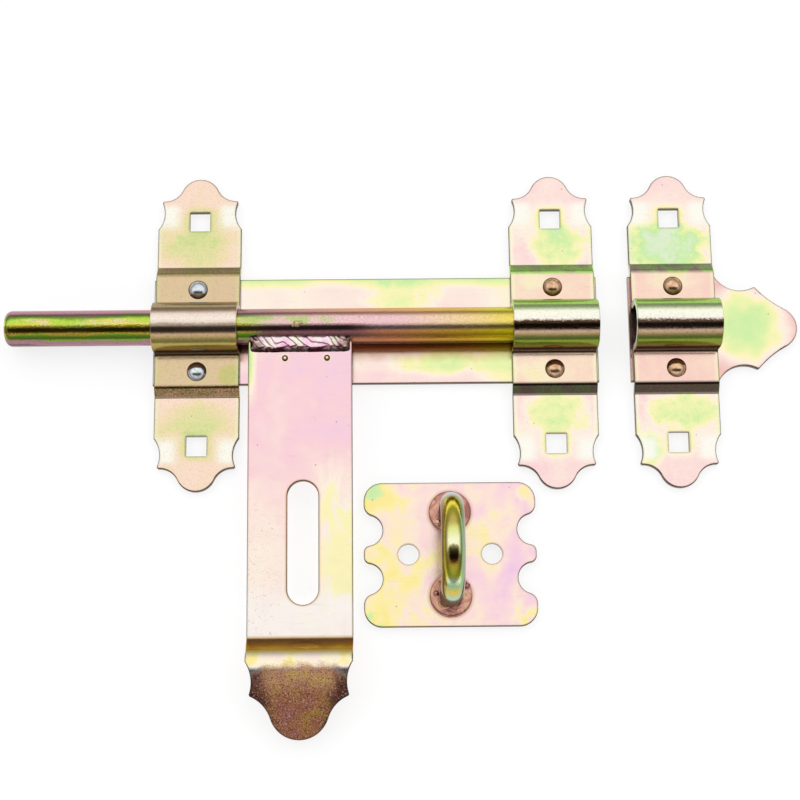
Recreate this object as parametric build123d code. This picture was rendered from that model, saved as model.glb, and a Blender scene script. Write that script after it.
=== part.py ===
from build123d import *
from math import asin, degrees
import os

os.makedirs("parts", exist_ok=True)

# Gate bolt set: a round bar slides in two riveted keepers on a back plate and carries a welded hasp,
# beside it the strike keeper that takes the bar's end and the staple that takes the hasp's slot.
# Millimetres. z = 0 is the gate's face, +X is the way the bar is shot, +Z points off the gate.
# Origin: on the gate's face under the bar, midway along the back plate.

# Strip
sheet = 3.0                 # thickness of back plates, keepers and staple plate
plate_length = 200.0
plate_height = 49.0
rim_round = 0.5             # sheared edges, rolled over by the press
cusp_round = 0.9            # corners of the ornaments

# Bar
bar_diameter = 16.0
bar_inset = 3.0             # bar's right end inside the right keeper's outer edge, bar drawn
bar_overhang = 64.4         # drawn bar beyond the back plate's left end
bar_end_round = 3.0
bar_clearance = 0.3         # between bar and keeper, and bar and plate

# Keeper straps
keeper_width = 38.0
keeper_margin = 1.0         # plate showing past a keeper's outer edge
bend_radius = 2.5           # at the middle of the sheet
step_clearance = 1.2        # from the plate's edge to the step that comes down beside it
step_run = 4.2
coach_hole_pitch = 104.6    # square holes for M8 coach bolts
coach_hole_side = 9.2
keeper_tip = 72.8           # half the keeper's full length
keeper_shoulder = 24.0      # from tip back to where the straight sides end
keeper_notch = (15.8, 2.7)  # (from tip, in from the side)
keeper_cusp = (10.3, 1.1)
keeper_ogee = (5.2, 8.1)    # (from tip, half width)

# Rivets
rivet_pitch = 38.0
rivet_shank = 5.0
rivet_head = 8.8
rivet_head_height = 2.4
rivet_tail = 7.6
rivet_tail_depth = 1.4

# Hasp
hasp_thickness = 4.0
hasp_width = 46.0
hasp_gap = 4.6              # from the left keeper's edge, bar drawn
hasp_rise = 3.0             # hasp's top face above the bar's axis
hasp_bend = 138.5           # bar axis to the foot of the lifted end
hasp_kick = 9.0             # height of the lifted end
hasp_kick_run = 8.0
hasp_tip = 180.5            # bar axis to the tip
hasp_tip_drop = 5.0         # fall of the end from its crest to the tip
hasp_bend_radius = 3.4      # at the foot of the lifted end
hasp_crest_radius = 8.0     # over its crest
hasp_shoulder = 33.0
hasp_notch = (25.8, 2.5)
hasp_cusp = (18.6, 1.5)
hasp_ogee = (9.0, 12.3)
slot_width = 13.6
slot_length = 53.8
slot_centre = 96.5          # bar axis to the slot's middle
slot_shift = 1.2            # slot's middle to the right of the hasp's
pip_diameter = 2.6          # two small pips pressed up beside the weld
pip_height = 0.7
pip_pitch = 18.6
pip_from_bar = 15.0
pip_shift = 2.6             # pips' middle to the right of the hasp's
hasp_seat = 0.4             # hasp's underside above the staple plate when it is down

# Weld between bar and hasp
weld_length = 44.0
weld_radius = 3.9
weld_pitch = 3.6            # from one ripple to the next
weld_reach = 8.3            # ripple centres from the bar's axis
weld_gap = 0.05             # running gap to the bar

# Strike keeper
strike_gap = 14.4           # from the back plate to the strike's plate
strike_shoulder = 36.3
strike_notch = (24.0, 6.9)
strike_cusp = (18.3, 5.2)
strike_ogee = (5.2, 8.7)
strike_tip = 55.8           # strike keeper's middle to the tip

# Staple
staple_x = 32.0
staple_y = -101.3
staple_width = 75.6
staple_height = 63.4
staple_corner = 8.0
bite_radius = 6.8
bite_depth = 8.2
bite_pitch = 21.4
bite_round = 4.8            # where a bite runs out to the side
tongue_round = 2.9
staple_hole = 9.0
staple_hole_pitch = 36.6
loop_rod = 10.0
loop_span = 36.6            # between the legs' middles
loop_height = 49.0          # crown above the gate
collar_diameter = 18.6
collar_height = 2.2
collar_round = 0.9

# Worked out from the sizes above
bar_radius = bar_diameter / 2
bore_radius = bar_radius + bar_clearance
axis_z = sheet + bore_radius
keeper_x = plate_length / 2 - keeper_margin - keeper_width / 2
bar_left = -plate_length / 2 - bar_overhang
bar_right = keeper_x + keeper_width / 2 - bar_inset
step_inner = plate_height / 2 + step_clearance
strike_x = plate_length / 2 + strike_gap + keeper_margin + keeper_width / 2
hasp_x = -keeper_x + keeper_width / 2 + hasp_gap + hasp_width / 2
hasp_under = hasp_rise - hasp_thickness
staple_edge = staple_height / 2 - staple_y
hasp_slope = degrees(asin((axis_z + hasp_under - sheet - hasp_seat) / staple_edge))


def ornament(half_width, tip, shoulder, notch, cusp, ogee):
    """Right half of a pointed ornamental end that points to +Y: hollow neck, cusp, ogee and round tip."""
    s = (half_width, tip - shoulder)
    n = (half_width - notch[1], tip - notch[0])
    c = (half_width - cusp[1], tip - cusp[0])
    o = (ogee[1], tip - ogee[0])
    crown = TangentArc((0, tip), o, tangent=(1, 0))
    hollow = TangentArc(o, c, tangent=crown % 1)
    return Curve() + [ThreePointArc(s, n, c), hollow, crown]


def full_outline(half):
    """Face from the right half of an outline that is symmetric about Y."""
    return make_face((half + mirror(half, Plane.YZ)).edges())


def round_cusps(outline, half_width, cusp, tips):
    """Blunt the cusps of the ornaments whose tips are at these heights."""
    for tip in tips:
        base = tip - cusp[0] if tip > 0 else tip + cusp[0]
        for x in (half_width - cusp[1], cusp[1] - half_width):
            corner = outline.vertices().sort_by_distance((x, base))[0]
            outline = fillet(corner, cusp_round)
    return outline


def round_rim(piece):
    """Roll over the edges of the walls that the press cut, which leaves out the sides of a keeper's arch."""
    rim = []
    for wall in piece.faces():
        n = wall.normal_at()
        if abs(n.Z) < 0.01 and (abs(n.X) > 0.03 or abs(wall.center().Y) > step_inner):
            rim += [e for e in wall.edges() if abs(e.tangent_at(0.5).Z) < 0.999]
    return fillet(rim, rim_round)


def rivet_hole():
    """Shank and countersunk tail of a rivet, as a cutter through strap and plate."""
    up = (Align.CENTER, Align.CENTER, Align.MIN)
    tail = Cone(rivet_tail / 2, rivet_shank / 2, rivet_tail_depth, align=up)
    return tail + Cylinder(rivet_shank / 2, 2 * sheet, align=up)


def rivet():
    """Round-head rivet, its tail closed flush with the back of the plate."""
    top = 2 * sheet
    dome_radius = (rivet_head**2 / 4 + rivet_head_height**2) / (2 * rivet_head_height)
    dome = Pos(0, 0, top + rivet_head_height - dome_radius) * Sphere(dome_radius)
    head = Cylinder(rivet_head / 2, rivet_head_height, align=(Align.CENTER, Align.CENTER, Align.MIN))
    return rivet_hole() + (Pos(0, 0, top) * head & dome)


def rivet_places():
    return [Pos(0, rivet_pitch / 2), Pos(0, -rivet_pitch / 2)]


def keeper():
    """Strap that lies on the gate at both ends, steps up over the plate and arches over the bar."""
    leg = bore_radius + sheet / 2
    flat, raised = sheet / 2, 1.5 * sheet
    side = FilletPolyline(
        (leg, axis_z), (leg, raised), (step_inner, raised), (step_inner + step_run, flat),
        (keeper_tip, flat), radius=bend_radius,
    )
    arch = CenterArc((0, axis_z), leg, 0, 180)
    band = trace(side + arch + mirror(side, Plane.YZ), sheet)
    strap = extrude(Plane.YZ * band, keeper_width / 2, both=True)
    end = ornament(keeper_width / 2, keeper_tip, keeper_shoulder, keeper_notch, keeper_cusp, keeper_ogee)
    straight = keeper_tip - keeper_shoulder
    side_line = Line((keeper_width / 2, -straight), (keeper_width / 2, straight))
    plan = full_outline(end + mirror(end, Plane.XZ) + side_line)
    plan = round_cusps(plan, keeper_width / 2, keeper_cusp, (keeper_tip, -keeper_tip))
    strap &= extrude(plan, 2 * axis_z + sheet)
    strap = round_rim(strap)
    for end_y in (coach_hole_pitch / 2, -coach_hole_pitch / 2):
        strap -= Pos(0, end_y) * Box(coach_hole_side, coach_hole_side, 3 * sheet)
    for place in rivet_places():
        strap -= place * rivet_hole()
    return strap


def back_plate():
    plate = Box(plate_length, plate_height, sheet, align=(Align.CENTER, Align.CENTER, Align.MIN))
    plate = fillet(plate.edges().filter_by(Axis.Z, reverse=True), rim_round)
    for x in (-keeper_x, keeper_x):
        for place in rivet_places():
            plate -= Pos(x) * place * rivet_hole()
    return plate


def bolt_bar():
    """Round bar with both ends rounded over."""
    middle = Pos((bar_left + bar_right) / 2, 0, axis_z)
    bar = middle * Rot(0, 90, 0) * Cylinder(bar_radius, bar_right - bar_left)
    return fillet(bar.edges().filter_by(GeomType.CIRCLE), bar_end_round)


def on_hasp(shape):
    """Swing a shape drawn level about the bar's axis down to where the hasp lies."""
    return Pos(hasp_x, 0, axis_z) * Rot(hasp_slope, 0, 0) * shape


def hasp():
    """Slotted strip, coped to the bar, with a lifted ornamental end for the fingers."""
    mid = hasp_rise - hasp_thickness / 2
    crest = mid + hasp_kick
    line = FilletPolyline(
        (0, mid), (-hasp_bend, mid), (-hasp_bend - hasp_kick_run, crest),
        (-hasp_tip - 1, crest - hasp_tip_drop), radius=(hasp_bend_radius, hasp_crest_radius),
    )
    strip = extrude(Plane.YZ * trace(line, hasp_thickness), hasp_width / 2, both=True)
    end = ornament(hasp_width / 2, hasp_tip, hasp_shoulder, hasp_notch, hasp_cusp, hasp_ogee)
    side_lines = Polyline((0, 0), (hasp_width / 2, 0), (hasp_width / 2, hasp_tip - hasp_shoulder))
    plan = round_cusps(full_outline(end + side_lines), hasp_width / 2, hasp_cusp, (hasp_tip,))
    plan = Rot(0, 0, 180) * plan
    strip &= Pos(0, 0, -hasp_thickness) * extrude(plan, 2 * hasp_thickness + 2 * hasp_kick)
    slot = Rot(0, 0, 90) * SlotOverall(slot_length, slot_width)
    strip -= Pos(slot_shift, -slot_centre) * extrude(slot, 3 * hasp_thickness, both=True)
    strip = round_rim(strip)
    for sx in (-1, 1):
        pip = Cylinder(pip_diameter / 2, hasp_rise + pip_height, align=(Align.CENTER, Align.CENTER, Align.MIN))
        pip = fillet(pip.edges().group_by(Axis.Z)[-1], pip_height * 0.8)
        strip += Pos(pip_shift + sx * pip_pitch / 2, -pip_from_bar) * pip
    strip -= Rot(0, 90, 0) * Cylinder(bar_radius + weld_gap, hasp_width)
    return on_hasp(strip)


def hasp_weld():
    """Rippled bead in the corner between bar and hasp."""
    half = weld_length / 2 - weld_radius
    count = int(2 * half / weld_pitch) + 1
    ripples = [Pos(-half + 2 * half * i / (count - 1), -weld_reach, hasp_rise + 0.2) for i in range(count)]
    bead = ripples[0] * Sphere(weld_radius)
    for place in ripples[1:]:
        bead += place * Sphere(weld_radius)
    bead -= Rot(0, 90, 0) * Cylinder(bar_radius + weld_gap, hasp_width)
    below = Box(hasp_width, 4 * weld_reach, 2 * weld_radius, align=(Align.CENTER, Align.CENTER, Align.MAX))
    bead -= Pos(0, 0, hasp_rise) * below
    return on_hasp(bead)


def strike_plate():
    """Plate behind the strike keeper, ending in the same ornament as the straps."""
    end = ornament(plate_height / 2, strike_tip, strike_shoulder, strike_notch, strike_cusp, strike_ogee)
    left = -keeper_width / 2 - keeper_margin
    sides = Polyline((0, left), (plate_height / 2, left), (plate_height / 2, strike_tip - strike_shoulder))
    outline = round_cusps(full_outline(end + sides), plate_height / 2, strike_cusp, (strike_tip,))
    plate = extrude(outline, sheet)
    plate = Rot(0, 0, -90) * round_rim(plate)
    for place in rivet_places():
        plate -= place * rivet_hole()
    return plate


def staple_plate():
    """Plate with two bites in each side, holes for two bolts and for the loop's legs."""
    outline = Rectangle(staple_width, staple_height)
    bite_x = staple_width / 2 - bite_depth + bite_radius
    for sx in (-1, 1):
        for sy in (-1, 1):
            outline -= Pos(sx * bite_x, sy * bite_pitch / 2) * Circle(bite_radius)
    tongue = [v for v in outline.vertices() if abs(v.Y) < bite_pitch / 2]
    outline = fillet(tongue, tongue_round)
    run_out = [v for v in outline.vertices() if bite_pitch / 2 < abs(v.Y) < staple_height / 2 - 1]
    outline = fillet(run_out, bite_round)
    corners = [v for v in outline.vertices() if abs(v.Y) > staple_height / 2 - 1]
    outline = fillet(corners, staple_corner)
    plate = extrude(outline, sheet)
    plate = fillet(plate.edges().group_by(Axis.Z)[-1], rim_round)
    for sx in (-1, 1):
        plate -= Pos(sx * staple_hole_pitch / 2) * Cylinder(staple_hole / 2, 3 * sheet)
    for sy in (-1, 1):
        plate -= Pos(0, sy * loop_span / 2) * Cylinder(loop_rod / 2, 3 * sheet)
    return plate


def staple_loop():
    """Round rod bent to a U, its legs ending flush with the back of the staple plate."""
    r = loop_span / 2
    spring = loop_height - loop_rod / 2 - r
    path = Curve() + [
        Line((0, r, 0), (0, r, spring)),
        ThreePointArc((0, r, spring), (0, 0, spring + r), (0, -r, spring)),
        Line((0, -r, spring), (0, -r, 0)),
    ]
    return sweep(Pos(0, r, 0) * Circle(loop_rod / 2), path=Wire(path.edges()))


def staple_collar():
    """Flange upset round a leg of the loop where it goes through the plate."""
    collar = Cylinder(collar_diameter / 2, collar_height, align=(Align.CENTER, Align.CENTER, Align.MIN))
    collar = fillet(collar.edges().group_by(Axis.Z)[-1], collar_round)
    return Pos(0, 0, sheet) * (collar - Cylinder(loop_rod / 2, 3 * collar_height))


def save(shape, node):
    export_step(shape, f"parts/{node}.step")


save(back_plate(), "back_plate")
save(bolt_bar(), "bolt_bar")
save(hasp(), "hasp")
save(hasp_weld(), "hasp_weld")
for name, x in (("keeper_left", -keeper_x), ("keeper_right", keeper_x), ("strike_keeper", strike_x)):
    save(Pos(x) * keeper(), name)
    for row, place in zip(("upper", "lower"), rivet_places()):
        save(Pos(x) * place * rivet(), f"{name}_rivet_{row}")
save(Pos(strike_x) * strike_plate(), "strike_plate")
staple = Pos(staple_x, staple_y)
save(staple * staple_plate(), "staple_plate")
save(staple * staple_loop(), "staple_loop")
for row, y in (("upper", loop_span / 2), ("lower", -loop_span / 2)):
    save(staple * Pos(0, y) * staple_collar(), f"staple_collar_{row}")
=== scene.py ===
import math

import bpy
from mathutils import Matrix, Vector, noise


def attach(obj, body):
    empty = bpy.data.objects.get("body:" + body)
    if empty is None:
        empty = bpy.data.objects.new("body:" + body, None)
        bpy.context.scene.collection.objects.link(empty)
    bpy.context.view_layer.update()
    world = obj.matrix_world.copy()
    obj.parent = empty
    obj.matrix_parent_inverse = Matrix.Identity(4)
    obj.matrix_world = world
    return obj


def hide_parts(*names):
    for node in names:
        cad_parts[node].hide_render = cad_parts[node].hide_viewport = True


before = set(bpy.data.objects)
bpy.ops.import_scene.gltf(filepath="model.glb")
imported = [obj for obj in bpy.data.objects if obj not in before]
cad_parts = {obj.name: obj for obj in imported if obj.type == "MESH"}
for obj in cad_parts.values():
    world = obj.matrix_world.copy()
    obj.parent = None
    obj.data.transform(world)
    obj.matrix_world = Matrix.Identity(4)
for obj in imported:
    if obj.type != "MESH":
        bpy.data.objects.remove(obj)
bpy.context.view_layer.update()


class Field:
    """A socket that takes part in arithmetic."""

    def __init__(self, finish, socket):
        self.finish, self.socket = finish, socket

    def maths(self, operation, *values):
        return self.finish.node("Math", {"operation": operation}, dict(enumerate(values)))

    def __add__(self, other):
        return self.maths("ADD", self, other)

    def __radd__(self, other):
        return self.maths("ADD", other, self)

    def __sub__(self, other):
        return self.maths("SUBTRACT", self, other)

    def __rsub__(self, other):
        return self.maths("SUBTRACT", other, self)

    def __mul__(self, other):
        return self.maths("MULTIPLY", self, other)

    def __rmul__(self, other):
        return self.maths("MULTIPLY", other, self)

    def __truediv__(self, other):
        return self.maths("DIVIDE", self, other)

    def __rtruediv__(self, other):
        return self.maths("DIVIDE", other, self)

    def __pow__(self, other):
        return self.maths("POWER", self, other)

    def __neg__(self):
        return self.maths("MULTIPLY", self, -1.0)

    def __abs__(self):
        return self.maths("ABSOLUTE", self)

    def upto(self, other):
        return self.maths("MINIMUM", self, other)

    def atleast(self, other):
        return self.maths("MAXIMUM", self, other)

    def angle(self, other):
        """The angle whose tangent is this over the other, in radians."""
        return self.maths("ARCTAN2", self, other)

    def soft(self, low, high):
        """0 below low, 1 above high, an eased step between."""
        return self.finish.node(
            "MapRange", {"interpolation_type": "SMOOTHSTEP"}, {0: self, 1: low, 2: high, 3: 0.0, 4: 1.0})


class Finish:
    """A node tree being filled, with places in millimetres."""

    def __init__(self, name, tree=None):
        if tree is None:
            self.material = bpy.data.materials.new(name)
            self.material.use_nodes = True
            tree = self.material.node_tree
        self.tree = tree
        tree.nodes.clear()

    def node(self, kind, settings=None, sockets=None, out=0):
        made = self.tree.nodes.new("ShaderNode" + kind)
        for key, value in (settings or {}).items():
            if key == "stops":
                ramp = made.color_ramp
                while len(ramp.elements) < len(value):
                    ramp.elements.new(1.0)
                for element, (place, colour) in zip(ramp.elements, value):
                    element.position = place
                    element.color = (*colour, 1.0)
            else:
                setattr(made, key, value)
        for key, value in (sockets or {}).items():
            socket = made.inputs[key]
            if isinstance(value, Field):
                self.tree.links.new(value.socket, socket)
            elif socket.type == "RGBA" and len(value) == 3:
                socket.default_value = (*value, 1.0)
            else:
                socket.default_value = value
        return Field(self, made.outputs[out]) if made.outputs else None

    def places(self):
        """Place vector in millimetres and its three parts."""
        metres = self.node("TexCoord", None, None, "Object")
        self.place = self.node("VectorMath", {"operation": "SCALE"}, {0: metres, "Scale": 1000.0})
        return [self.node("SeparateXYZ", None, {0: self.place}, axis) for axis in range(3)]

    def upright(self):
        """1 where the surface looks up in its own piece, 0 on its sides, -1 underneath."""
        return self.node("SeparateXYZ", None, {0: self.node("TexCoord", None, None, "Normal")}, 2)

    def clouds(self, size, seed=0.0, detail=2.0, warp=0.0, stretch=(1.0, 1.0, 1.0)):
        """Noise from 0 to 1 with features of about that size in millimetres."""
        moved = self.node("Mapping", None, {0: self.place, 1: (seed, seed * 0.7, seed * 1.3), 3: stretch})
        return self.node(
            "TexNoise", None, {"Vector": moved, "Scale": 1.0 / size, "Detail": detail, "Distortion": warp})

    def mix(self, amount, low, high):
        return self.node("Mix", {"data_type": "RGBA"}, {0: amount, 6: low, 7: high}, 2)

    def tint(self, amount, low, high):
        return self.node("Mix", {"data_type": "RGBA", "blend_type": "MULTIPLY"}, {0: amount, 6: low, 7: high}, 2)

    def ramp(self, value, stops):
        return self.node("ValToRGB", {"stops": stops}, {0: value})

    def specks(self, spacing, size, seed, share):
        """Small round marks, at most one in a cell of that spacing, over that share of the cells."""
        moved = self.node("Mapping", None, {0: self.place, 1: (seed, seed, seed)})
        cell = {"Vector": moved, "Scale": 1.0 / spacing}
        gap = self.node("TexVoronoi", None, cell, "Distance") * spacing
        dice = self.node("SeparateXYZ", None, {0: self.node("TexVoronoi", None, cell, "Color")}, 0)
        return (1.0 - gap.soft(size * 0.5, size)) * (1.0 - dice.soft(share, share + 0.02))

    def scratches(self, seed, turn, share):
        """Thin hairlines in one direction, turned by that angle, over part of the surface."""
        drawn_out = (0.03, 1.0, 0.3)
        turned = self.node(
            "Mapping", None, {0: self.place, 1: (seed, seed, 0.0), 2: (0.0, 0.0, turn), 3: drawn_out})
        line = self.node("TexNoise", None, {"Vector": turned, "Scale": 1.6, "Detail": 1.0, "Distortion": 0.15})
        return (1.0 - abs(line - 0.5).soft(0.004, 0.014)) * self.clouds(7.0, seed + 5.0).soft(share, share + 0.1)

    def metal(self, colour, roughness, height, depth, metallic=1.0):
        """Closes the tree with a plated surface, its height field that many metres deep."""
        bump = self.node("Bump", None, {"Strength": 1.0, "Distance": depth, "Height": height})
        shader = self.node("BsdfPrincipled", None, {
            "Base Color": colour, "Roughness": roughness, "Metallic": metallic, "Normal": bump})
        self.node("OutputMaterial", None, {"Surface": shader})


def rgb(red, green, blue):
    """A screen colour of 0 to 255 as the light it stands for."""
    return tuple(((c / 255 + 0.055) / 1.055) ** 2.4 if c > 10 else c / 255 / 12.92 for c in (red, green, blue))


def dress(finish, *nodes):
    """Puts a finish in every material slot of those nodes."""
    for node in nodes:
        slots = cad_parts[node].data.materials
        for i in range(max(1, len(slots))):
            if i < len(slots):
                slots[i] = finish.material
            else:
                slots.append(finish.material)


thin_film = [(0.00, rgb(242, 206, 234)), (0.15, rgb(252, 212, 218)), (0.30, rgb(255, 229, 220)),
             (0.44, rgb(255, 242, 226)), (0.56, rgb(255, 246, 190)), (0.68, rgb(236, 246, 176)),
             (0.84, rgb(204, 240, 170)), (1.00, rgb(224, 240, 208))]


def plain_sheet(finish, colour, seed, grain=0.3, flat=1.0, metallic=1.0):
    """Pits, hairlines and the grain of rolled and plated sheet over a film colour, with painted shade along the
    edges where they roll over.
    """
    edge_width, grain_depth = 0.0022, 0.00003
    facing = abs(finish.upright())
    # Painted shade on the rolled edges: darker where the edge turns away from the light, found from the surface's
    # slope and from a bevel probe.
    rolled_edge_shade = (1.0 - facing.soft(0.62, 0.99)) * flat
    rounded = finish.node("Bevel", {"samples": 8}, {"Radius": edge_width})
    rounded = finish.node(
        "VectorTransform", {"vector_type": "NORMAL", "convert_from": "WORLD", "convert_to": "OBJECT"}, {0: rounded})
    bevel_edge_shade = (1.0 - abs(finish.node("SeparateXYZ", None, {0: rounded}, 2)).soft(0.70, 0.985)) * flat
    pits = finish.specks(5.0, 0.38, seed + 2.0, 0.30)
    lines = finish.scratches(seed, 0.5, 0.52).atleast(finish.scratches(seed + 9.0, -1.1, 0.56))
    marked = finish.tint(bevel_edge_shade * 0.85, colour, rgb(140, 124, 78))
    marked = finish.tint(rolled_edge_shade, marked, rgb(92, 74, 36))
    marked = finish.tint(pits * 0.6, marked, rgb(128, 92, 62))
    marked = finish.tint(lines * 0.12, marked, rgb(170, 142, 112))
    fine = finish.clouds(0.32, seed + 3.0)
    roll = finish.clouds(1.3, seed + 4.0)
    height = fine * grain + roll * 0.25 - pits * 0.5 - lines * 0.04
    rough = 0.13 + 0.08 * finish.clouds(6.0, seed + 6.0) + 0.15 * pits
    finish.metal(marked, rough, height, grain_depth, metallic)


plate_edge = 24.4
plate_green = ((12.0, 16.0, 16.0, 8.0, 0.34), (27.0, -15.0, 18.0, 6.0, 0.36), (58.0, -18.0, 12.0, 8.0, 0.16))
plate = Finish("chromated_strip")
x, y, _ = plate.places()
film = 0.33 + 0.55 * (plate.clouds(40.0, 3.0, 1.0, 0.6) - 0.45) + 0.14 * (plate.clouds(9.0, 8.0) - 0.5)
film = film + 0.32 * y.soft(18.5, plate_edge) - 0.12 * (-y).soft(17.0, 21.0) + 0.10 * x.soft(20.0, 62.0)
for gx, gy, wide, tall, much in plate_green:
    away = ((x - gx) / wide) ** 2.0 + ((y - gy) / tall) ** 2.0 + 2.6 * (plate.clouds(6.0, gx, 3.0, 0.5) - 0.5)
    film = film + much * (1.0 - away.soft(-0.6, 2.0))
colour = plate.ramp(film, thin_film)
# Painted shadow of the bar on the plate: a brown fade below the bar and a dark band right under its lower edge.
shade = 1.0 - (-y + 2.0 * (plate.clouds(6.0, 5.0) - 0.5)).soft(8.5, 16.0)
colour = plate.tint(shade * (-y).soft(0.0, 5.0) * 0.75, colour, rgb(180, 146, 106))
under_bar_shadow = (-y).soft(0.0, 5.0) * (1.0 - (-y).soft(6.0, 9.6))
colour = plate.tint(under_bar_shadow * 0.85, colour, rgb(112, 72, 56))
plain_sheet(plate, colour, 11.0)
dress(plate, "back_plate")

# Keepers: straps of the same strip, blanked with an ornamental end, pierced square for coach bolts,
# then pressed over a former so that they arch over the bar and step down beside the back plate.
# The bends take the film differently: olive and brown where the bath ran thick. The near-white on the crest is a
# painted highlight, and a dark band on the near side is a painted reflection of the slot in the tent's roof.
keeper_reach, keeper_half = 52.3, 19.0
left_middle, right_middle, strike_middle = -80.0, 80.0, 134.4
bar_axis = 11.3


def keeper_finish(name, middle, stops, arch, steps, seed, grain, raised, green, painted_dark):
    """A strap's film, its arch, its two steps, its green patches (place, half sizes, strength) and the strength of
    its painted dark band.
    """
    hole_half = 4.6
    strap = Finish(name)
    x, y, z = strap.places()
    x = x - middle
    film = 0.27 + 0.26 * (strap.clouds(18.0, seed, 1.0, 0.5) - 0.48) + 0.16 * (strap.clouds(4.0, seed + 3.0) - 0.5)
    film = film + 0.16 * grain * (strap.clouds(0.7, seed + 6.0, 2.0) - 0.5)
    film = film + 0.15 * (1.0 - abs(abs(y) - 50.0).soft(4.0, 13.0))
    for gx, gy, wide, tall, much in green:
        away = ((x - gx) / wide) ** 2.0 + ((y - gy) / tall) ** 2.0
        ragged = away + 1.6 * (strap.clouds(7.0, seed + gy, 3.0, 0.5) - 0.5)
        film = film + much * (1.0 - ragged.soft(0.0, 1.6)) * (0.7 + 0.6 * strap.clouds(2.5, seed + gx))
    hole = (x ** 4.0 + (abs(y) - keeper_reach) ** 4.0) ** 0.25 - hole_half
    film = film + 0.16 * (1.0 - hole.soft(0.6, 3.6)) + 0.20 * abs(x).soft(keeper_half - 3.0, keeper_half)
    colour = strap.ramp(film, stops)
    # Painted highlights: a near-white line along the straight edges, where the film is also pushed yellower, and
    # near-white cusps on the ornament.
    colour = strap.mix(0.6 * abs(x).soft(keeper_half - 2.6, keeper_half - 0.4), colour, rgb(255, 250, 226))
    cusp = abs(x).soft(6.5, 12.5) * abs(y).soft(46.0, 53.0) * (1.0 - abs(y).soft(58.0, 62.0))
    colour = strap.mix(0.9 * cusp, colour, rgb(255, 254, 244))
    colour = strap.tint(z.soft(3.4, 5.6), colour, raised)
    mottle = strap.clouds(0.9, seed + 8.0, 3.0)
    colour = strap.tint(mottle.soft(0.48, 0.74) * 0.16 * grain, colour, rgb(170, 126, 74))
    turn = y.angle(z - bar_axis) / math.pi + 0.5
    turn = turn + 0.03 * (strap.clouds(9.0, seed + 7.0) - 0.5)
    # The arch ramp holds the film's colours round the bend, with a painted highlight on the crest.
    bent = strap.ramp(turn, arch)
    crest = turn.soft(0.45, 0.51) * (1.0 - turn.soft(0.60, 0.66))
    bent = strap.tint(0.30 * (1.0 - 0.5 * crest) * mottle.soft(0.45, 0.75), bent, rgb(150, 128, 92))
    speckle_grain = strap.clouds(0.55, seed + 9.0, 2.0)
    # Painted reflection of the dark slot in the roof: a grainy dark band on the arch's near side.
    painted_dark_band = turn.soft(0.31, 0.41) * (1.0 - turn.soft(0.44, 0.51))
    painted_dark_band = (painted_dark_band + 1.7 * (speckle_grain - 0.5) * painted_dark_band.soft(0.0, 0.2)).soft(0.2, 0.9)
    bent = strap.tint(painted_dark_band * painted_dark, bent, rgb(76, 58, 38))
    over = z.soft(6.6, 7.6)
    colour = strap.mix(over, colour, bent)
    # The two steps beside the back plate: the far step keeps the film's greens and tans, and the near step's darker
    # browns are painted shade over the film's grain.
    step = abs(y).soft(24.5, 26.1) * (1.0 - abs(y).soft(29.4, 30.8))
    patch = strap.clouds(6.0, seed + 5.0, 2.0).soft(0.38, 0.62)
    high = strap.mix(patch, steps[0], steps[1])
    low = strap.mix(patch, steps[2], steps[3])
    gritty = speckle_grain.soft(0.42, 0.60)
    high = strap.tint(0.35 * gritty, high, rgb(150, 128, 98))
    low = strap.tint(0.75 * gritty, low, rgb(112, 92, 80))
    colour = strap.mix(step * 0.92, colour, strap.mix(y.soft(-1.0, 1.0), low, high))
    plain_sheet(strap, colour, seed, grain * (1.0 - 0.6 * over), (1.0 - over) * (1.0 - step))
    return strap


khaki_film = [(0.00, rgb(252, 216, 204)), (0.28, rgb(252, 224, 204)), (0.45, rgb(242, 224, 178)),
              (0.60, rgb(228, 226, 164)), (0.76, rgb(206, 222, 148)), (1.00, rgb(184, 208, 132))]
warm_arch = [
    (0.00, rgb(130, 94, 62)), (0.08, rgb(158, 128, 76)), (0.20, rgb(184, 168, 92)), (0.27, rgb(204, 182, 112)),
    (0.32, rgb(216, 182, 140)), (0.39, rgb(206, 176, 146)), (0.46, rgb(234, 214, 196)), (0.53, rgb(250, 236, 224)),
    (0.60, rgb(242, 222, 206)), (0.65, rgb(196, 170, 142)), (0.72, rgb(170, 150, 114)), (1.00, rgb(138, 114, 86))]
green_arch = [
    (0.00, rgb(120, 88, 58)), (0.07, rgb(146, 112, 62)), (0.14, rgb(134, 142, 52)), (0.23, rgb(130, 156, 62)),
    (0.30, rgb(206, 176, 130)), (0.37, rgb(238, 200, 184)), (0.44, rgb(240, 216, 202)), (0.50, rgb(253, 250, 236)),
    (0.60, rgb(254, 255, 232)), (0.66, rgb(206, 228, 166)), (0.74, rgb(158, 204, 84)), (1.00, rgb(150, 150, 100))]
left_strap = keeper_finish(
    "keeper_chromate_tan", left_middle, khaki_film, warm_arch,
    (rgb(188, 164, 118), rgb(180, 168, 108), rgb(196, 156, 114), rgb(176, 146, 94)), 21.0, 0.9, rgb(226, 226, 200),
    [(-2.0, 38.0, 16.0, 9.0, 0.34), (0.0, -40.0, 15.0, 8.0, 0.30), (15.0, -21.0, 6.0, 5.0, 0.30)], 0.50)
right_strap = keeper_finish(
    "keeper_chromate_pink", right_middle, thin_film, green_arch,
    (rgb(172, 202, 124), rgb(172, 234, 106), rgb(72, 52, 40), rgb(62, 86, 28)), 33.0, 0.35, rgb(252, 250, 232),
    [(3.5, 38.0, 13.0, 10.0, 0.46), (1.0, -37.0, 15.0, 10.0, 0.40),
     (-8.0, 22.0, 8.0, 4.0, 0.16), (-6.0, -20.0, 12.0, 6.0, 0.22)], 1.0)
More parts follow.
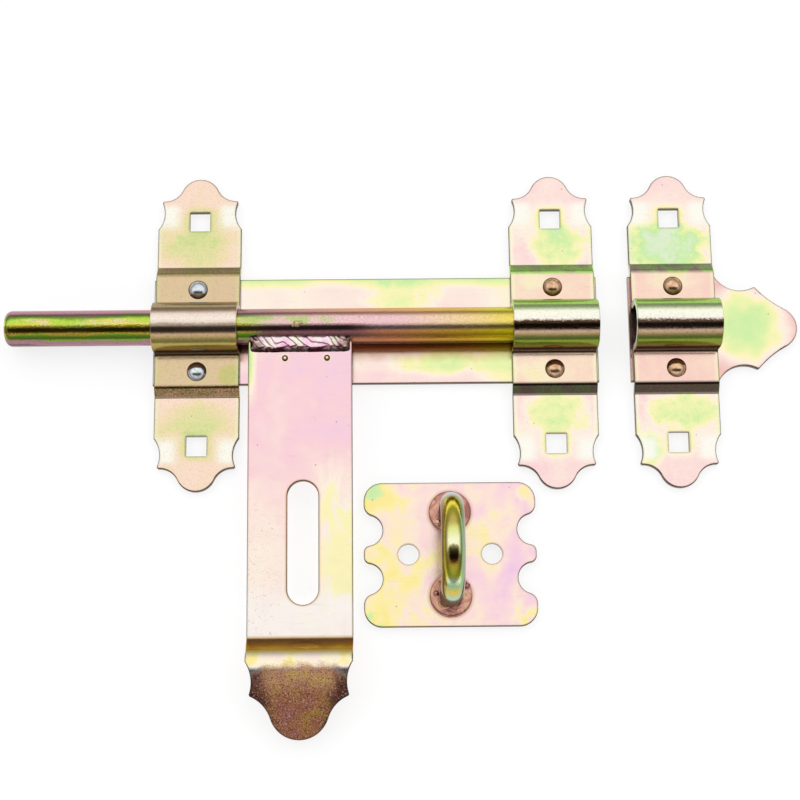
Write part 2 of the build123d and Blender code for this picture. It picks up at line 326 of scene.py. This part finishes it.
strike_strap = keeper_finish(
    "keeper_chromate_green", strike_middle, thin_film, green_arch,
    (rgb(180, 154, 148), rgb(164, 206, 124), rgb(84, 62, 50), rgb(76, 66, 42)), 47.0, 0.35, rgb(252, 244, 232),
    [(-1.0, 38.0, 19.0, 12.0, 0.66), (2.0, -37.0, 17.0, 8.0, 0.44),
     (-13.0, -56.0, 6.0, 9.0, 0.40), (0.0, 22.0, 12.0, 5.0, 0.18)], 0.95)
dress(left_strap, "keeper_left")
dress(right_strap, "keeper_right")
dress(strike_strap, "strike_keeper")

# Rivets: round heads set through strap and plate, their tails closed flush behind.
# The left keeper's are bright zinc, the others took the yellow bath and came out copper brown.


def rivet_finish(name, face, worn_face, seed):
    """A worn head, with painted shade where it meets the strap."""
    head = Finish(name)
    _, _, z = head.places()
    worn = head.clouds(1.6, seed, 3.0)
    colour = head.mix(worn.soft(0.35, 0.7), face, worn_face)
    # Painted shade round the foot of the head, where it meets the strap.
    colour = head.tint((1.0 - z.soft(6.1, 7.2)) * 0.8, colour, rgb(120, 104, 84))
    dents = head.clouds(1.0, seed + 2.0, 1.0)
    head.metal(colour, 0.12 + 0.12 * worn, dents + 0.2 * head.clouds(0.25, seed), 0.00006)
    return head


bright_rivet = rivet_finish("rivet_bright_zinc", rgb(234, 240, 244), rgb(206, 214, 218), 3.0)
brown_rivet = rivet_finish("rivet_copper_brown", rgb(246, 204, 172), rgb(210, 166, 116), 5.0)
dress(bright_rivet, "keeper_left_rivet_upper", "keeper_left_rivet_lower")
dress(brown_rivet, "keeper_right_rivet_upper", "keeper_right_rivet_lower",
      "strike_keeper_rivet_upper", "strike_keeper_rivet_lower")

# Bolt bar: cold drawn round bar with both ends turned over, plated before it went in.
# The film runs lime and yellow at the free end, mauve where the weld's heat reached, gold by the right keeper.
bar_radius = 8.0
left_reach, film_run = 170.0, 270.0
bar = Finish("bar_chromate")
x, y, z = bar.places()
turn = y.angle(z - bar_axis) / math.pi + 0.5
drift = x + 16.0 * (bar.clouds(18.0, 4.0, 2.0, 0.4, (0.5, 1.0, 1.0)) - 0.5) + 8.0 * (turn - 0.5)
along = (drift + left_reach) / film_run
upper = bar.ramp(along, [
    (0.00, rgb(170, 120, 130)), (0.04, rgb(150, 140, 116)), (0.14, rgb(158, 158, 108)), (0.30, rgb(150, 140, 90)),
    (0.42, rgb(170, 124, 122)), (0.52, rgb(206, 148, 136)), (0.68, rgb(232, 170, 116)), (0.78, rgb(228, 190, 84)),
    (0.86, rgb(226, 218, 64)), (1.00, rgb(216, 200, 56))])
crest = bar.ramp(along, [
    (0.00, rgb(226, 170, 180)), (0.04, rgb(206, 216, 130)), (0.10, rgb(200, 230, 110)), (0.17, rgb(232, 226, 70)),
    (0.24, rgb(220, 226, 80)), (0.32, rgb(214, 226, 110)), (0.42, rgb(214, 206, 180)), (0.50, rgb(250, 206, 210)),
    (0.66, rgb(250, 208, 210)), (0.76, rgb(252, 220, 170)), (0.85, rgb(252, 228, 110)), (1.00, rgb(248, 218, 90))])
lower = bar.ramp(along, [
    (0.00, rgb(166, 116, 130)), (0.05, rgb(126, 132, 60)), (0.12, rgb(122, 152, 52)), (0.26, rgb(124, 142, 46)),
    (0.42, rgb(116, 118, 56)), (0.50, rgb(172, 116, 108)), (0.66, rgb(196, 130, 84)), (0.76, rgb(200, 156, 46)),
    (0.85, rgb(206, 190, 10)), (1.00, rgb(188, 168, 14))])
# Across the round the colours are partly light: the pale crest is a painted highlight and the darker lower side is
# painted shade, over the film's own colours along the bar.
colour = bar.mix(turn.soft(0.30, 0.44), lower, bar.mix(turn.soft(0.60, 0.70), crest, upper))
wavy = turn + 0.34 * (bar.clouds(14.0, 24.0, 1.0, 0.3, (0.7, 1.0, 1.0)) - 0.5)
wavy = wavy + 0.06 * (bar.clouds(2.0, 25.0, 3.0) - 0.5)
free_end = bar.ramp(wavy, [
    (0.02, rgb(110, 82, 84)), (0.07, rgb(172, 124, 138)), (0.17, rgb(168, 124, 132)), (0.21, rgb(126, 160, 70)),
    (0.29, rgb(120, 168, 44)), (0.325, rgb(190, 160, 66)), (0.36, rgb(170, 150, 60)), (0.47, rgb(236, 222, 84)),
    (0.50, rgb(206, 228, 92)), (0.58, rgb(190, 226, 84)), (0.62, rgb(148, 182, 66)), (0.66, rgb(132, 162, 70)),
    (0.69, rgb(166, 138, 138)), (0.76, rgb(190, 136, 148))])
blush = bar.clouds(9.0, 34.0, 2.0, 0.3, (0.5, 1.0, 1.0)).soft(0.44, 0.60)
blush = blush * turn.soft(0.46, 0.50) * (1.0 - turn.soft(0.56, 0.62))
straw = bar.ramp(bar.clouds(5.0, 35.0), [(0.4, rgb(250, 224, 110)), (0.6, rgb(242, 222, 190))])
free_end = bar.mix(0.8 * blush, free_end, straw)
colour = bar.mix(drift.soft(-64.0, -40.0), free_end, colour)
moss = bar.clouds(9.0, 15.0, 1.0, 0.3, (0.6, 1.0, 1.0)).soft(0.45, 0.66)
moss = moss * x.soft(-66.0, -52.0) * (1.0 - x.soft(-26.0, -14.0))
colour = bar.mix(0.75 * moss * turn.soft(0.42, 0.48) * (1.0 - turn.soft(0.56, 0.66)), colour, rgb(176, 216, 104))
heated = drift.soft(-58.0, -46.0) * (1.0 - drift.soft(-16.0, 4.0))
heated = heated * turn.soft(0.18, 0.26) * (1.0 - turn.soft(0.42, 0.48))
colour = bar.mix(0.85 * heated, colour, rgb(132, 88, 96))
drawn = bar.clouds(0.5, 6.0, 2.0, 0.0, (0.12, 1.0, 1.0))
mottle = bar.clouds(0.5, 9.0, 2.0)
# Painted reflection of the dark slot in the tent's roof: a grainy black band on the bar's near side, strongest on
# the free end.
painted_dark_band = turn.soft(0.31, 0.37) * (1.0 - turn.soft(0.44, 0.50))
painted_black_band = (painted_dark_band + 3.0 * (mottle - 0.5) * painted_dark_band.soft(0.0, 0.2)).soft(0.15, 0.8)
painted_black_band = painted_black_band * (0.72 - 0.34 * x.soft(-60.0, -48.0) - 0.3 * x.soft(-16.0, 0.0))
colour = bar.tint(painted_black_band, colour, rgb(66, 54, 26))
colour = bar.tint(0.25 * mottle.soft(0.42, 0.64), colour, rgb(120, 92, 64))
colour = bar.tint(0.5 * bar.specks(3.0, 0.3, 4.0, 0.3), colour, rgb(80, 60, 40))
rough = 0.13 + 0.08 * bar.clouds(5.0, 2.0) + 0.08 * x.soft(-14.0, 0.0)
bar.metal(colour, rough, 0.4 * drawn + 0.8 * mottle, 0.00004)
dress(bar, "bolt_bar")

# Spatter: beads of weld metal thrown on to the bar when the hasp was joined, left where they stuck.
# They went through the bath with the rest, so they are brown with pale tan and lime crests.


def smooth_piece(name, points, faces):
    """A new smooth-shaded object in the scene."""
    mesh = bpy.data.meshes.new(name)
    mesh.from_pydata(points, [], faces)
    mesh.validate()
    for face in mesh.polygons:
        face.use_smooth = True
    made = bpy.data.objects.new(name, mesh)
    bpy.context.scene.collection.objects.link(made)
    return made


def beads(name, places):
    """Flattened drops standing on a surface: (place, way up, radius, height)."""
    points, faces = [], []
    rings, spokes, wrap = 9, 20, 0.62
    for number, (place, up, radius, height) in enumerate(places):
        turn = Vector((0, 0, 1)).rotation_difference(Vector(up))
        first = len(points)
        for ring in range(rings):
            lean = math.pi * wrap * ring / (rings - 1)
            for spoke in range(spokes):
                round_ = 2 * math.pi * spoke / spokes
                p = Vector((math.sin(lean) * math.cos(round_), math.sin(lean) * math.sin(round_), math.cos(lean)))
                lump = 1.0 + 0.28 * noise.noise(p * 1.7 + Vector((number * 3.1, 0, 7)))
                p = Vector((p.x * radius, p.y * radius, p.z * height)) * lump
                points.append((Vector(place) + turn @ p) / 1000)
        for ring in range(rings - 1):
            for spoke in range(spokes):
                a, b = first + ring * spokes + spoke, first + ring * spokes + (spoke + 1) % spokes
                faces.append((a, a + spokes, b + spokes, b))
        faces.append([first + (rings - 1) * spokes + spoke for spoke in reversed(range(spokes))])
    return smooth_piece(name, points, faces)


def on_bar(x, lean):
    """Place and way up on the bar's skin, that many degrees to the hasp's side of its top."""
    lean = math.radians(lean)
    up = (0.0, -math.sin(lean), math.cos(lean))
    return (x, bar_radius * up[1], bar_axis + bar_radius * up[2]), up


spatter_finish = Finish("weld_spatter")
spatter_finish.places()
scale = spatter_finish.clouds(0.6, 2.0, 2.0)
spatter_finish.metal(
    spatter_finish.ramp(scale, [(0.3, rgb(130, 90, 70)), (0.5, rgb(236, 200, 170)), (0.7, rgb(200, 214, 110))]),
    0.2 + 0.2 * scale, scale, 0.0001)
spatter = beads("bar_spatter", [
    (*on_bar(-34.6, 6), 1.5, 0.7), (*on_bar(-32.9, 3), 0.9, 0.5), (*on_bar(-36.3, 12), 0.6, 0.35)])
spatter.data.materials.append(spatter_finish.material)
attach(spatter, "bar")

# Hasp: a heavier strip, slotted, its end kicked up for the fingers and cut with the same ornament.
# Coped at the top to lie against the bar; the kicked end took a thicker, browner and coarser film.
hasp_middle = -33.4
slot_centre, slot_run, slot_shift, slot_half = 96.5, 20.1, 1.2, 6.8
pip_row, pip_columns = 15.0, (-6.7, 11.9)
kick_start, kick_run = 136.0, 9.0
hasp = Finish("hasp_chromate")
x, y, _ = hasp.places()
x = x - hasp_middle
film = 0.13 + 0.26 * (hasp.clouds(24.0, 6.0, 1.0, 0.6) - 0.45) + 0.12 * (hasp.clouds(5.0, 16.0) - 0.5)
film = film + 0.26 * (-y).soft(40.0, 110.0)
streak = hasp.clouds(13.0, 46.0, 2.0, 0.6, (1.6, 0.6, 1.0)).soft(0.46, 0.66)
film = film + (0.12 + 0.26 * streak) * x.soft(2.0, 14.0) * (-y).soft(48.0, 84.0) * (1.0 - (-y).soft(100.0, 140.0))
film = film.upto(0.56) + 0.72 * (1.0 - (x + 24.0).soft(1.0, 6.0)) * (1.0 - (-y).soft(20.0, 40.0))
colour = hasp.ramp(film, thin_film)
# Painted highlight: the hasp is whitened towards the kick, except over the green streak.
colour = hasp.mix(0.6 * (-y).soft(110.0, 126.0) * (1.0 - x.soft(4.0, 18.0) * streak), colour, rgb(255, 251, 248))
nick = hasp.clouds(1.1, 56.0, 3.0, 0.5).soft(0.60, 0.70) * (1.0 - x.soft(-14.0, -4.0)) * (-y).soft(70.0, 90.0)
colour = hasp.tint(nick * 0.35, colour, rgb(214, 130, 160))
slot_gap = ((abs(y + slot_centre) - slot_run).atleast(0.0) ** 2.0 + (x - slot_shift) ** 2.0) ** 0.5 - slot_half
colour = hasp.tint((1.0 - slot_gap.soft(0.2, 1.4)) * 0.5, colour, rgb(240, 196, 120))
front = hasp.upright().soft(0.0, 0.3)
# Each pip: a pale halo of film round it, left showing in the pip's centre as a painted highlight inside a brown
# ring.
for pip_column in pip_columns:
    pip = ((x - pip_column) ** 2.0 + (y + pip_row) ** 2.0) ** 0.5
    colour = hasp.mix((1.0 - pip.soft(1.6, 2.2)) * front * 0.6, colour, rgb(250, 250, 216))
    colour = hasp.mix((1.0 - pip.soft(1.25, 1.5)) * pip.soft(0.3, 0.65) * front, colour, rgb(150, 98, 70))
# The kick's gold film is painted darker where the bend faces down, away from the light, and brighter as it rises;
# the pale crown of the bend is a painted highlight.
kick = (-y).soft(kick_start, kick_start + 2.0) * (1.0 - (-y).soft(143.5, 146.0))
gold = hasp.ramp((-y - kick_start) / kick_run + 0.16 * (hasp.clouds(6.0, 66.0, 2.0) - 0.5), [
    (0.05, rgb(196, 146, 30)), (0.28, rgb(128, 82, 2)), (0.50, rgb(186, 126, 8)),
    (0.72, rgb(255, 206, 52)), (0.95, rgb(255, 240, 160))])
colour = hasp.mix(kick * 0.95, colour, gold)
crown = (-y).soft(143.0, 145.0) * (1.0 - (-y).soft(148.5, 151.0))
colour = hasp.mix(crown * 0.85, colour, hasp.ramp(hasp.clouds(8.0, 96.0, 2.0), [
    (0.38, rgb(255, 232, 222)), (0.50, rgb(255, 246, 206)), (0.62, rgb(255, 236, 140))]))
tip = (-y) + 7.0 * (hasp.clouds(6.0, 76.0) - 0.5) + 3.0 * (hasp.clouds(0.8, 86.0) - 0.5)
tip = (tip - 4.0 * abs(x).soft(14.0, 22.0)).soft(147.5, 152.5)
burnt = hasp.ramp(hasp.clouds(7.0, 26.0, 3.0, 0.5), [
    (0.28, rgb(228, 170, 164)), (0.42, rgb(230, 166, 128)), (0.56, rgb(238, 182, 126)), (0.70, rgb(244, 210, 96))])
dark = abs(x) + 0.16 * (-y - 152.0) * (-y).soft(156.0, 164.0) + 9.0 * (hasp.clouds(5.0, 106.0, 3.0) - 0.5)
burnt = hasp.tint(0.9 * dark.soft(11.0, 19.0), burnt, rgb(112, 70, 76))
burnt = hasp.tint(0.8 * (-y).soft(154.0, 163.0), burnt, rgb(196, 160, 154))
colour = hasp.mix(tip * 0.97, colour, burnt)
grit_and_glints = hasp.clouds(0.6, 36.0, 3.0)
colour = hasp.tint(grit_and_glints.soft(0.50, 0.64) * tip * 0.7, colour, rgb(116, 80, 62))
# Painted glints: small bright specks over the tip, beside the dark grit.
colour = hasp.mix((1.0 - grit_and_glints.soft(0.30, 0.42)) * tip * 0.8, colour, rgb(255, 222, 192))
plain_sheet(hasp, colour, 51.0, 0.35 + 0.9 * tip, 1.0 - kick, 1.0 - 0.85 * tip)
dress(hasp, "hasp")

# Weld: a hand-laid bead in the corner between bar and hasp, its ripples lapping like scales.
# Left as struck and plated over, so the crests are bright pink; the laps between them are painted dark as shade on
# their steep faces, and both edges of the bead carry a painted shadow.
weld_half, weld_rows, weld_lanes = 22.2, 400, 64
weld_foot, weld_lip, weld_crown, weld_edge, bar_skin = -12.5, -10.3, 6.0, 2.7, 8.06
hasp_lean, hasp_face, bar_meets_hasp, thinnest = 2.97, 2.5, -7.47, 0.02
scale_pitch, scale_height, scale_peak, scale_fall = 0.19, 0.8, 0.92, 0.08
slope = Matrix.Rotation(math.radians(hasp_lean), 4, "X")
seat = Vector((hasp_middle, 0, bar_axis))
tops, unders, faces = [], [], []
for row in range(weld_rows + 1):
    along = (2 * row / weld_rows - 1) * weld_half
    lap = along * scale_pitch + 1.0 * noise.noise(Vector((along * 0.13, 6.1, 2.2)))
    lip = weld_lip + 1.0 * noise.noise(Vector((along * 0.15, 3.7, 1.9))) + 0.9 * (lap - math.floor(lap) - 0.5)
    lip += 0.35 * noise.noise(Vector((along * 0.9, 1.0, 5.0))) + 0.12 * noise.noise(Vector((along * 2.6, 4.0, 5.0)))
    crown = weld_crown + 0.5 * noise.noise(Vector((along * 0.2, 8.8, 1.0)))
    back = -math.sqrt(bar_skin ** 2 - crown ** 2)
    taper = max(0.0, 1.0 - abs(along / weld_half) ** 9) ** 0.5
    for lane in range(weld_lanes + 1):
        across = weld_foot + (back - weld_foot) * lane / weld_lanes
        floor_z = math.sqrt(bar_skin ** 2 - across ** 2) if across > bar_meets_hasp else hasp_face
        scale = -lap - 0.30 * across + 0.35 * noise.noise(Vector((along * 0.25, across * 0.3, 8.0)))
        saw = scale - math.floor(scale)
        rise = saw if saw < scale_peak else scale_peak * (1.0 - saw) / scale_fall
        crumb = 0.12 * noise.noise(Vector((along * 0.6, across * 0.7, 3.0)))
        crumb += 0.02 * noise.noise(Vector((along * 2.0, across * 2.0, 9.0)))
        top = crown + scale_height * (rise - 0.5) + crumb
        if across < lip:
            top -= (top - weld_edge) * ((lip - across) / (lip - weld_foot)) ** 0.75
        top = max(floor_z, floor_z + (top - floor_z) * taper)
        under = min(floor_z, top - thinnest)
        tops.append((slope @ Vector((along, across, top)) + seat) / 1000)
        unders.append((slope @ Vector((along, across, under)) + seat) / 1000)
wide, below = weld_lanes + 1, len(tops)
for row in range(weld_rows):
    for lane in range(weld_lanes):
        a = row * wide + lane
        faces.append((a, a + wide, a + wide + 1, a + 1))
        faces.append((below + a, below + a + 1, below + a + wide + 1, below + a + wide))
    for a, turned in ((row * wide, False), (row * wide + weld_lanes, True)):
        wall = (a, below + a, below + a + wide, a + wide)
        faces.append(wall[::-1] if turned else wall)
for lane in range(weld_lanes):
    for a, turned in ((lane, True), (weld_rows * wide + lane, False)):
        wall = (a, below + a, below + a + 1, a + 1)
        faces.append(wall[::-1] if turned else wall)
weld = smooth_piece("weld_bead", tops + unders, faces)
weld_finish = Finish("weld_chromate")
x, y, _ = weld_finish.places()
steep = 1.0 - weld_finish.upright().soft(0.45, 0.75)
patch = weld_finish.clouds(7.0, 3.0, 1.5, 0.4)
colour = weld_finish.ramp(patch, [
    (0.28, rgb(252, 190, 220)), (0.42, rgb(255, 212, 230)), (0.56, rgb(255, 234, 238)),
    (0.70, rgb(252, 246, 214)), (0.80, rgb(200, 230, 130))])
end = (abs(x - hasp_middle) + 6.0 * (weld_finish.clouds(4.0, 33.0) - 0.5)).soft(14.5, 19.0)
colour = weld_finish.mix(end * 0.8, colour, weld_finish.ramp(weld_finish.clouds(3.0, 43.0, 2.0), [
    (0.36, rgb(84, 78, 44)), (0.50, rgb(150, 110, 96)), (0.62, rgb(222, 170, 180)), (0.72, rgb(150, 190, 80))]))
# Painted shade on the steep faces: the laps between the scales and the bead's underside.
colour = weld_finish.tint(steep * 0.92, colour, rgb(122, 62, 72))
# Painted shadow along both edges of the bead, against the bar and against the hasp.
ragged = y + 1.6 * (weld_finish.clouds(1.6, 53.0, 2.0) - 0.5)
bead_edge_shadow = ragged.soft(-6.7, -6.1).atleast(1.0 - ragged.soft(-11.5, -10.7))
colour = weld_finish.tint(bead_edge_shadow * 0.85, colour, rgb(74, 44, 48))
# Dark patches that grow on the steep faces: painted shade there, with faint random dark patches on the flats.
painted_dark = weld_finish.clouds(2.2, 13.0, 2.0, 0.6, (0.6, 1.0, 1.0)).soft(0.56, 0.62) * (0.12 + 0.7 * steep)
colour = weld_finish.tint(painted_dark, colour, rgb(60, 40, 34))
weld_finish.metal(colour, 0.15 + 0.12 * painted_dark, weld_finish.clouds(0.6, 23.0, 2.0), 0.00002)
weld.data.materials.append(weld_finish.material)
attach(weld, "hasp")
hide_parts("hasp_weld")

# Strike plate: backs the strike keeper and ends in the same ornament, riveted to it.
# It lay flat in the bath, so a green pool dried in the middle of the ornament with a yellow tide line.
pool_x, pool_y, pool_wide, pool_tall = 167.5, 1.0, 17.0, 18.0
strike = Finish("strike_chromate")
x, y, _ = strike.places()
pool = ((x - pool_x) / pool_wide) ** 2.0 + ((y - pool_y) / pool_tall) ** 2.0
pool = pool + 0.9 * (strike.clouds(11.0, 5.0, 1.5, 0.4) - 0.5)
film = 0.22 + 0.58 * (1.0 - pool.soft(0.0, 1.6)) + 0.12 * (strike.clouds(5.0, 7.0) - 0.5)
film = film + 0.2 * abs(y).soft(20.0, 24.0)
colour = strike.ramp(film, thin_film)
colour = strike.tint(0.7 * pool.soft(0.9, 2.0), colour, rgb(238, 216, 200))
plain_sheet(strike, colour, 61.0)
dress(strike, "strike_plate")

# Staple plate: blanked with two bites in each side, two round bolt holes and two more for the loop's legs.
# Same sheet and bath as the straps, streaked yellow, with green where the corners drained.
staple_x, staple_y, leg_offset = 32.0, -101.3, 18.3
staple = Finish("staple_chromate")
x, y, _ = staple.places()
x, y = x - staple_x, y - staple_y
film = 0.28 + 0.62 * (staple.clouds(15.0, 9.0, 1.0, 0.9, (1.2, 0.8, 1.0)) - 0.47)
film = film + 0.16 * (staple.clouds(4.0, 19.0) - 0.5)
film = film + 0.13 * (1.0 - x.soft(-30.0, 4.0)) - 0.08 * x.soft(10.0, 30.0)
film = film + 0.34 * abs(x).soft(24.0, 34.0) * abs(y).soft(18.0, 28.0) * staple.clouds(7.0, 29.0).soft(0.4, 0.6)
colour = staple.ramp(film, [
    (0.00, rgb(238, 196, 236)), (0.12, rgb(248, 208, 228)), (0.26, rgb(254, 222, 220)), (0.36, rgb(255, 234, 212)),
    (0.46, rgb(255, 240, 172)), (0.58, rgb(255, 236, 150)), (0.70, rgb(226, 242, 170)), (0.90, rgb(196, 236, 176))])
# Painted shadow on the plate round each collar.
ring = ((x ** 2.0 + (abs(y) - leg_offset) ** 2.0) ** 0.5).soft(8.9, 11.0)
colour = staple.tint((1.0 - ring) * 0.55, colour, rgb(190, 140, 96))
plain_sheet(staple, colour, 71.0)
dress(staple, "staple_plate")

# Staple loop: round rod bent to a U, its legs set through the plate and closed behind.
# Drawn rod takes a glassy film, olive and gold on the crown and blue-green on the bends; the crown's ramp also holds
# a painted highlight where the rod faces up, and the far bend a grey-blue painted reflection.
# The legs are dull and brown where they come out of the collars.
loop_spring, rod_half, degrees = 25.7, 5.0, 180 / math.pi
loop = Finish("loop_chromate")
x, y, z = loop.places()
x, y = x - staple_x, y - staple_y
bend = y.angle(z - loop_spring) * degrees
bend = bend + 7.0 * (loop.clouds(3.0, 12.0, 2.0, 0.4) - 0.5)
# The crown's ramp: film colours round the bend, with a pale painted highlight where it faces up and darker browns
# where it faces the slot in the roof.
crown = loop.ramp((bend + 110.0) / 200.0, [
    (0.06, rgb(176, 206, 156)), (0.18, rgb(166, 200, 160)), (0.24, rgb(216, 186, 70)), (0.29, rgb(140, 180, 140)),
    (0.325, rgb(226, 240, 196)), (0.36, rgb(196, 206, 70)), (0.40, rgb(180, 172, 56)), (0.43, rgb(170, 134, 56)),
    (0.47, rgb(150, 124, 70)), (0.50, rgb(236, 232, 160)), (0.55, rgb(252, 254, 214)), (0.61, rgb(226, 228, 132)),
    (0.65, rgb(196, 178, 96)), (0.71, rgb(232, 212, 78)), (0.79, rgb(244, 234, 72)), (0.84, rgb(160, 150, 72)),
    (0.90, rgb(176, 188, 190))])
flank = loop.ramp((x + rod_half) / (2 * rod_half) + 0.10 * (loop.clouds(5.0, 62.0) - 0.5), [
    (0.04, rgb(120, 96, 50)), (0.20, rgb(196, 176, 60)), (0.50, rgb(200, 210, 90)),
    (0.80, rgb(150, 190, 130)), (0.97, rgb(150, 160, 140))])
colour = loop.mix(abs(x).soft(2.2, 3.6), crown, flank)
# Painted reflection of the horizon on the far bend: grey-blue.
colour = loop.mix(bend.soft(58.0, 68.0) * 0.8, colour, rgb(170, 184, 188))
# Painted reflection of the dark slot in the roof: a dark brown blot on the near side of the crown.
painted_dark_reflection = ((bend + 13.0) / 10.0) ** 2.0 + (x / 2.4) ** 2.0 + 1.6 * (loop.clouds(1.2, 72.0, 3.0) - 0.5)
painted_dark_reflection = 1.0 - painted_dark_reflection.soft(0.5, 1.3)
colour = loop.tint(painted_dark_reflection * 0.72, colour, rgb(96, 72, 34))
foot = 1.0 - z.soft(26.0, 31.0)
brown = loop.ramp(loop.clouds(4.0, 22.0), [(0.35, rgb(124, 76, 56)), (0.65, rgb(150, 100, 72))])
colour = loop.mix(foot * 0.9, colour, brown)
fine = loop.clouds(0.4, 32.0, 2.0)
colour = loop.tint(0.30 * fine.soft(0.5, 0.8), colour, rgb(120, 100, 70))
rough = 0.10 + 0.08 * loop.clouds(5.0, 42.0) + 0.6 * foot
loop.metal(colour, rough, fine + 0.6 * loop.clouds(1.5, 52.0), 0.00003, 1.0 - 0.75 * foot)
dress(loop, "staple_loop")

# Collars: metal upset round each leg as the loop was set, squeezed hard against the plate.
# The hot metal kept a copper-pink film; a few drops froze on the rims.
collar = Finish("collar_copper")
_, _, z = collar.places()
swirl = collar.clouds(5.0, 8.0, 2.0, 0.6)
colour = collar.ramp(swirl, [
    (0.30, rgb(166, 110, 100)), (0.46, rgb(204, 146, 134)), (0.60, rgb(224, 178, 146)), (0.74, rgb(170, 152, 84))])
# Painted shade at the foot of each collar, where it meets the plate.
colour = collar.tint((1.0 - z.soft(3.2, 4.4)) * 0.6, colour, rgb(150, 100, 70))
collar.metal(colour, 0.13 + 0.08 * swirl, swirl + 0.25 * collar.clouds(0.9, 18.0), 0.00012)
dress(collar, "staple_collar_upper", "staple_collar_lower")
drops = beads("collar_drops", [
    ((staple_x + 7.0, staple_y - 14.2, 4.6), (0.35, 0.25, 1.0), 1.7, 1.2),
    ((staple_x - 6.6, staple_y - 17.4, 4.7), (-0.45, 0.1, 1.0), 1.5, 1.1),
    ((staple_x - 5.6, staple_y + 13.4, 4.6), (-0.3, -0.3, 1.0), 1.6, 0.9)])
drops.data.materials.append(collar.material)
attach(drops, "base")

# Studio: the set lies on a white sheet under a white tent whose roof is lit evenly and whose walls fall off,
# with a slot in the roof where the camera stands. The sheet keeps the set's own soft shadow.
reach, drop = 4.0, -0.0004
mesh = bpy.data.meshes.new("floor")
mesh.from_pydata(
    [(-reach, -reach, drop), (reach, -reach, drop), (reach, reach, drop), (-reach, reach, drop)], [], [(0, 1, 2, 3)])
floor = bpy.data.objects.new("floor", mesh)
bpy.context.scene.collection.objects.link(floor)
sheet = Finish("white_sheet")
seen = sheet.node("LightPath", None, None, "Is Camera Ray")
for way in ("Is Glossy Ray", "Is Transmission Ray"):
    seen = seen.atleast(sheet.node("LightPath", None, None, way))
shadowed = sheet.node("BsdfDiffuse", None, {"Color": (0.40, 0.40, 0.40)})
glow = sheet.node("Emission", None, {"Color": (1.0, 1.0, 1.0), "Strength": seen * 0.77})
sheet.node("OutputMaterial", None, {"Surface": sheet.node("AddShader", None, {0: shadowed, 1: glow})})
floor.data.materials.append(sheet.material)

world = bpy.data.worlds.new("tent")
bpy.context.scene.world = world
world.use_nodes = True
tent = Finish("tent", world.node_tree)
ray = tent.node("TexCoord", None, None, "Generated")
rx, ry, rz = [tent.node("SeparateXYZ", None, {0: ray}, axis) for axis in range(3)]
up = rz.atleast(0.001)
lean = (-ry).angle(up) * degrees
swing = abs(rx).angle(up) * degrees
roof = 0.36 + 0.64 * rz.soft(0.22, 0.72)
opening = lean.soft(5.0, 11.0) * (1.0 - lean.soft(34.0, 48.0)) * (1.0 - swing.soft(40.0, 58.0))
lit = roof * (1.0 - 0.12 * lean.soft(14.0, 30.0)) * (1.0 - 0.94 * opening)
camera_ray = tent.node("LightPath", None, None, "Is Camera Ray")
level = lit * (1.0 - camera_ray) + camera_ray
sky = tent.node("Background", None, {"Color": (1.0, 1.0, 1.0), "Strength": level})
tent.node("OutputWorld", None, {"Surface": sky})

# Camera: above the set and a little to the near side, looking down at it with a short telephoto.
# Fitted to the photograph's outlines; the focal length is in pixels of a picture of that width.
place = Vector((0.0076, -0.1931, 0.7145))
focal_pixels, picture_pixels, sensor = 1633.7, 800, 36.0
pitch, yaw, roll = math.radians(12.75), math.radians(0.24), math.radians(-0.5)
ahead = Vector((0, math.sin(pitch), -math.cos(pitch)))
upward = Vector((0, math.cos(pitch), math.sin(pitch)))
right = Vector((1, 0, 0))
ahead, right = ahead * math.cos(yaw) + right * math.sin(yaw), right * math.cos(yaw) - ahead * math.sin(yaw)
right, upward = right * math.cos(roll) + upward * math.sin(roll), upward * math.cos(roll) - right * math.sin(roll)
lens = bpy.data.cameras.new("camera")
lens.sensor_width = sensor
lens.lens = focal_pixels * sensor / picture_pixels
lens.clip_start, lens.clip_end = 0.01, 50.0
camera = bpy.data.objects.new("camera", lens)
bpy.context.scene.collection.objects.link(camera)
camera.matrix_world = Matrix((
    (right.x, upward.x, -ahead.x, place.x),
    (right.y, upward.y, -ahead.y, place.y),
    (right.z, upward.z, -ahead.z, place.z),
    (0, 0, 0, 1)))
bpy.context.scene.camera = camera
bpy.context.scene.view_settings.view_transform = "Standard"
